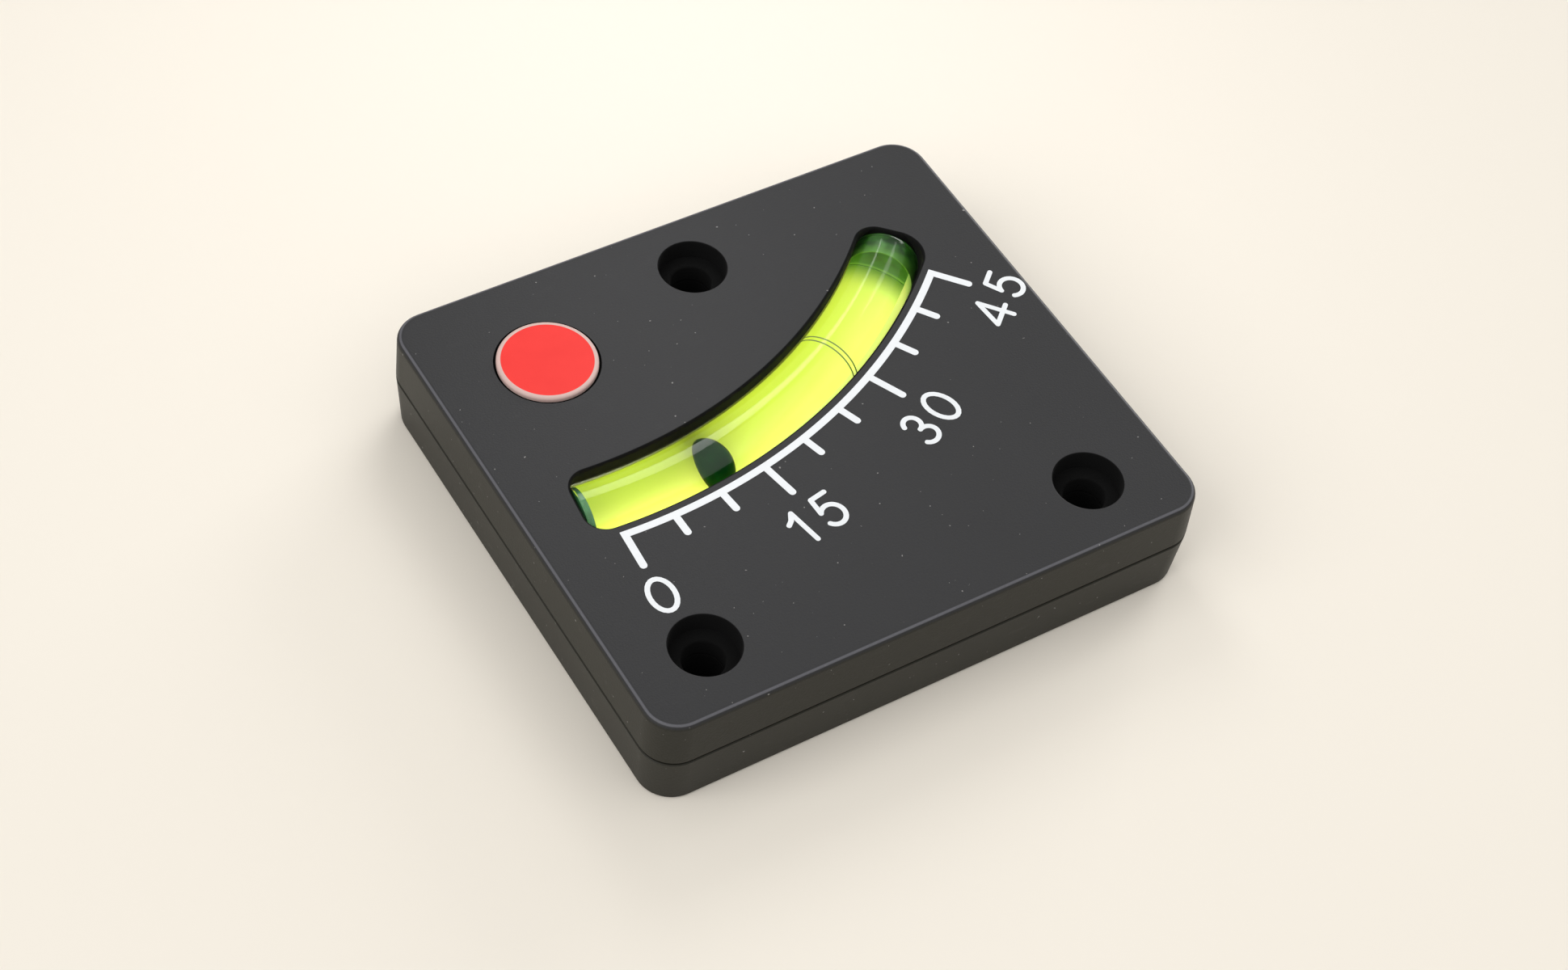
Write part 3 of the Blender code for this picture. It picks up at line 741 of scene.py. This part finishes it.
def printed(name, strokes):
    """Several printed lines as one piece of print."""
    piece = strokes[0]
    piece.name = name
    for other in strokes[1:]:
        carve(piece, other, "UNION")
    dress(piece, "case", white)


def on_face(angle, radius):
    """A point on the face at an angle of the scale and a distance from the arc's centre."""
    return arc_centre + outward(angle) * radius


line = [on_face(angle, line_radius) for angle in arc_steps(0, scale_end)]
marks = [stroke([on_face(0, long_mark), *line, on_face(scale_end, long_mark)], line_half)]
for degrees in range(5, 45, 5):
    angle = math.radians(degrees)
    mark_end = short_mark if degrees % 15 else long_mark
    marks.append(stroke([on_face(angle, line_radius), on_face(angle, mark_end)], line_half))
printed("scale_line", marks)

numeral_height = 4.4 * mm
numeral_radius = 79.15 * mm
last_numeral_radius = 78.85 * mm
numeral_widths = {"0": 2.86 * mm, "1": 1.45 * mm, "5": 2.8 * mm, "3": 2.7 * mm, "4": 3.37 * mm}


def bow(middle_x, middle_y, reach_x, reach_y, start, end, steps=24):
    """Points on an oval, as shares of a numeral's box, from a start to an end in degrees."""
    turns = [math.radians(start + (end - start) * n / steps) for n in range(steps + 1)]
    return [(middle_x + reach_x * math.cos(t), middle_y + reach_y * math.sin(t)) for t in turns]


numeral_shares = {
    "0": [bow(0.5, 0.5, 0.5, 0.5, 0, 345, 23)],
    "1": [[(1, 1), (1, 0)], [(0.12, 0.74), (0.55, 0.82), (1, 1)]],
    "3": [bow(0.47, 0.755, 0.38, 0.245, 155, -90), bow(0.47, 0.2575, 0.45, 0.2575, 90, -155)],
    "4": [[(0.70, 1), (0.70, 0)], [(0.70, 1), (0.02, 0.30)], [(0.02, 0.30), (1, 0.30)]],
    "5": [[(0.92, 1), (0.22, 1)], [(0.22, 1), (0.10, 0.53)], bow(0.47, 0.325, 0.48, 0.325, 140, -150)],
}


def numeral(name, digit, reading, shift, radius=numeral_radius):
    """A numeral at a reading in degrees, shifted along the arc, with its top towards the arc's centre."""
    angle = math.radians(reading)
    middle = on_face(angle, radius) + onward(angle) * shift
    strokes = []
    for shares in numeral_shares[digit]:
        points = []
        for across, along in shares:
            aside = onward(angle) * (across - 0.5) * numeral_widths[digit]
            points.append(middle + aside - outward(angle) * (along - 0.5) * numeral_height)
        strokes.append(stroke(points, numeral_half, closed=digit == "0"))
    printed(name, strokes)


numeral("numeral_0", "0", 0.085, 0)
numeral("numeral_15_1", "1", 14.69, -2.52 * mm)
numeral("numeral_15_5", "5", 14.69, 1.94 * mm)
numeral("numeral_30_3", "3", 29.31, -2.16 * mm)
numeral("numeral_30_0", "0", 29.31, 2.16 * mm)
numeral("numeral_45_4", "4", 44.38, -2.4 * mm, last_numeral_radius)
numeral("numeral_45_5", "5", 44.38, 2.4 * mm, last_numeral_radius)

# Badge: a plain round disc in smooth red plastic with a pale rim.
# It is glued in a shallow pocket of the face and stands a little proud of it.
badge_edge = 0.3 * mm
rim_width = 0.55 * mm
rim_blur = 0.06 * mm
rim_inside = badge_radius - rim_width
badge_reds = ((0.80, 0.014, 0.009), (0.86, 0.024, 0.017))
rim_tone = (0.62, 0.44, 0.40)
red_patch = 3 * mm
red_grain = 0.4 * mm
red_relief = 0.006 * mm
red = Finish("red_badge", Roughness=0.45, Specular_IOR_Level=0.3)
from_badge = red.node("ShaderNodeVectorMath", {"operation": "SUBTRACT"}, {0: red.where, 1: badge_place})
level_part = red.node("ShaderNodeVectorMath", {"operation": "MULTIPLY"}, {0: from_badge, 1: (1, 1, 0)})
from_middle = red.node("ShaderNodeVectorMath", {"operation": "LENGTH"}, {0: level_part}).port("Value")
rim_band = from_middle.between(rim_inside, rim_inside + rim_blur)
red.paint(Base_Color=red.blend(rim_band, red.blend(red.noise(red_patch), *badge_reds), rim_tone))
red.relief(red.noise(red_grain, detail=3), red_relief)
badge_rings = [circle(badge_place, badge_radius, badge_low)]
for turn in quarter_turns(edge_facets):
    radius = badge_radius - badge_edge * (1 - math.cos(turn))
    badge_rings.append(circle(badge_place, radius, badge_high - badge_edge * (1 - math.sin(turn))))
badge_rings.append(circle(badge_place, rim_inside, badge_high))
badge = loft("badge_disc", badge_rings)
dress(badge, "case", red)
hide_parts("badge")

# Bench: a pale cream floor under soft studio light. None of it is part of the instrument.
# A large soft box hangs overhead, with one on the left and one low on the right.
# The last two are small, and are there for the light lines that they make along the tube.
floor_half = 3.0
floor_patch = 0.4
floor_creams = ((0.87, 0.815, 0.72), (0.89, 0.835, 0.745))
cream = Finish("floor_cream", Roughness=0.9)
cream.paint(Base_Color=cream.blend(cream.noise(floor_patch), *floor_creams))
corner_ways = ((-1, -1), (1, -1), (1, 1), (-1, 1))
floor_levels = (back - floor_half / 10, back)
floor_rings = [[(x * floor_half, y * floor_half, level) for x, y in corner_ways] for level in floor_levels]
floor = loft("floor", floor_rings)
floor.data.materials.append(cream.material)

scene = bpy.context.scene
world = bpy.data.worlds.new("studio")
world.use_nodes = True
surround = world.node_tree.nodes["Background"]
surround.inputs["Color"].default_value = (1.0, 0.985, 0.965, 1)
surround.inputs["Strength"].default_value = 0.40
scene.world = world
scene.view_settings.view_transform = "Standard"


def soft_box(name, place, size, power):
    """A rectangular lamp that faces the instrument, with its size in metres and its power in watts."""
    data = bpy.data.lights.new(name, "AREA")
    data.energy = power
    data.shape = "RECTANGLE"
    data.size, data.size_y = size
    lamp = bpy.data.objects.new(name, data)
    lamp.location = place
    lamp.rotation_euler = Vector(place).to_track_quat("Z", "Y").to_euler()
    scene.collection.objects.link(lamp)


soft_box("overhead_light", place=(0.02, -0.32, 1.0), size=(1.7, 1.7), power=6.0)
soft_box("left_light", place=(-0.95, -0.05, 0.80), size=(1.0, 0.8), power=6.0)
soft_box("low_right_light", place=(1.0, 0.52, 0.38), size=(0.6, 0.5), power=4.0)
soft_box("near_light", place=(0.0325, 0.0894, 0.1205), size=(0.050, 0.070), power=0.042)
soft_box("right_light", place=(0.76, 0.26, 0.75), size=(0.15, 0.15), power=0.16)

# Camera: a long lens above the front left corner, looking down on the face.
# Its turn, tilt and roll were fitted to the photograph's corners, holes and scale marks.
view_turn = math.radians(-37.5882)
view_tilt = math.radians(50.5986)
view_roll = math.radians(8.4184)
view_distance = 329.123 * mm
look_at = Vector((-5.8154 * mm, -9.0555 * mm, face))
ahead = Matrix.Rotation(view_turn, 3, "Z") @ Vector((0, math.cos(view_tilt), -math.sin(view_tilt)))
level_right = Matrix.Rotation(view_turn, 3, "Z") @ Vector((1, 0, 0))
view_right = Matrix.Rotation(-view_roll, 3, ahead) @ level_right
view_axes = Matrix((view_right, view_right.cross(ahead), -ahead)).transposed().to_4x4()
camera_data = bpy.data.cameras.new("camera")
camera_data.sensor_width = 36.0
camera_data.lens = 68.99
camera_data.shift_x = -0.00505
camera_data.clip_start = 10 * mm
camera = bpy.data.objects.new("camera", camera_data)
camera.matrix_world = Matrix.Translation(look_at - ahead * view_distance) @ view_axes
scene.collection.objects.link(camera)
scene.camera = camera
